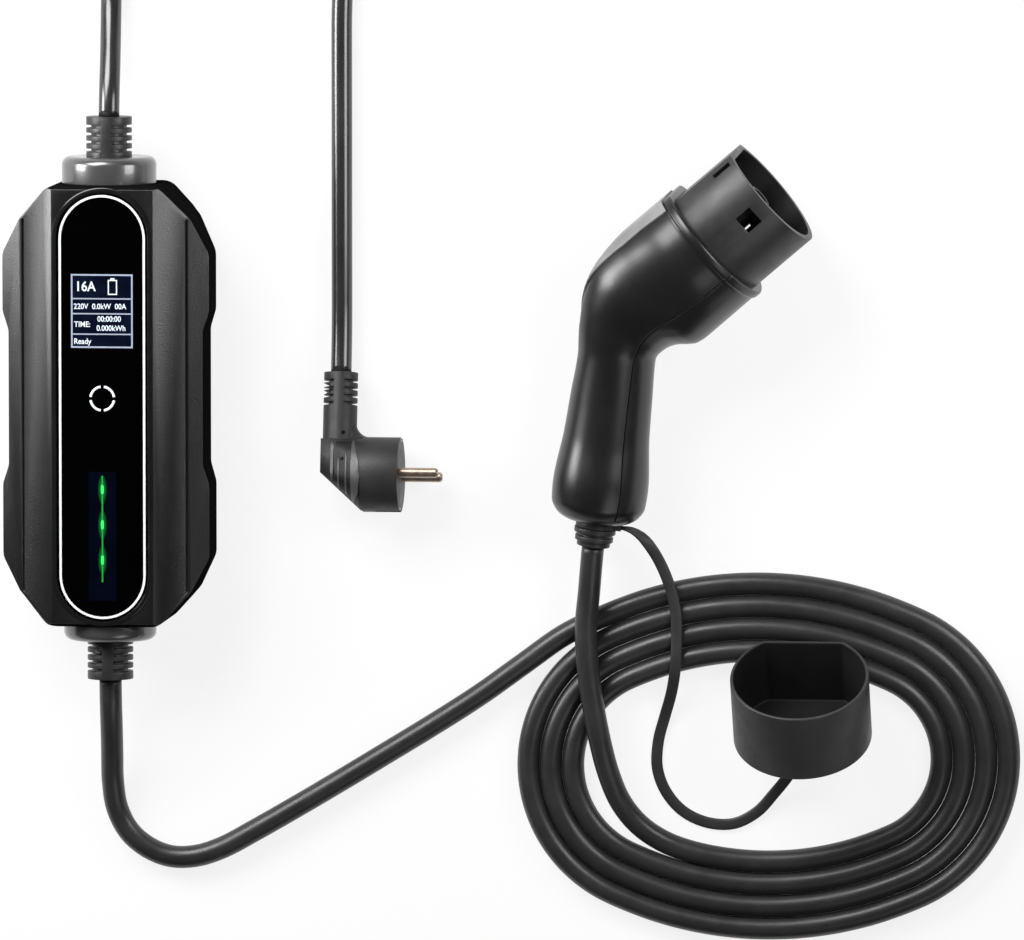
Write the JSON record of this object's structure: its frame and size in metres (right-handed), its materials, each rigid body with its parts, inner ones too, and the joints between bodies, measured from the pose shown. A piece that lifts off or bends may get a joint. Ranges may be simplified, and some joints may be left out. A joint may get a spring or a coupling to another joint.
{
  "type": "electric car charger",
  "caption": "Portable charging set: control box with glass panel, coiled charging lead with a hand-held vehicle connector and cap, and a mains lead with plug.",
  "frame": {"origin": "centre of the flat back of the control box", "axes": "+Z out of the back towards the front panel, +Y along the box towards the mains lead, +X towards the coil"},
  "size_m": [0.4876, 0.5317, 0.0711],
  "materials": {
    "case": "black moulded plastic with a fine grain",
    "seal": "black sealing cord",
    "steel": "zinc plated screws",
    "glass_panel": "glossy black panel with a white outline",
    "display": "lit display",
    "light": "green light guide",
    "board": "green circuit board",
    "relay": "black relay case",
    "copper": "enamelled copper",
    "transformer": "taped transformer",
    "capacitor": "sleeved aluminium",
    "terminal": "green terminal block",
    "gland": "satin black plastic",
    "sleeve": "soft black rubber",
    "cable": "smooth black cable jacket",
    "plug": "moulded black plug",
    "pins": "nickel plated brass",
    "gun": "semi gloss black plastic",
    "grip": "soft touch black plastic",
    "gun_trim": "dark grey plastic",
    "nose": "black glass filled plastic",
    "contact": "silver plated contacts",
    "cap": "black rubber"
  },
  "bodies": {
    "root": {"rear_shell": "case", "front_shell": "case", "shell_seal": "seal", "shell_screws": "steel", "front_glass": "glass_panel", "display_module": "display", "light_guide": "light", "circuit_board": "board", "board_screws": "steel", "relay": "relay", "mains_choke": "copper", "supply_transformer": "transformer", "capacitors": "capacitor", "terminal_block": "terminal", "top_flange": "gland", "top_sleeve": "sleeve", "low_flange": "gland", "low_sleeve": "sleeve", "mains_lead": "cable", "plug_body": "plug", "plug_pins": "pins", "plug_earth_strips": "pins", "charge_lead": "cable", "charge_coil": "cable", "gun_lead": "cable", "gun_sleeve": "sleeve", "gun_housing": "gun", "grip_panel": "grip", "top_plate": "gun_trim", "nose_shroud": "nose", "contact_carrier": "nose", "contact_sleeves": "nose", "power_contacts": "contact", "signal_contacts": "contact", "cap_cup": "cap", "cap_strap": "cap", "strap_ring": "cap"}
  },
  "joints": []
}
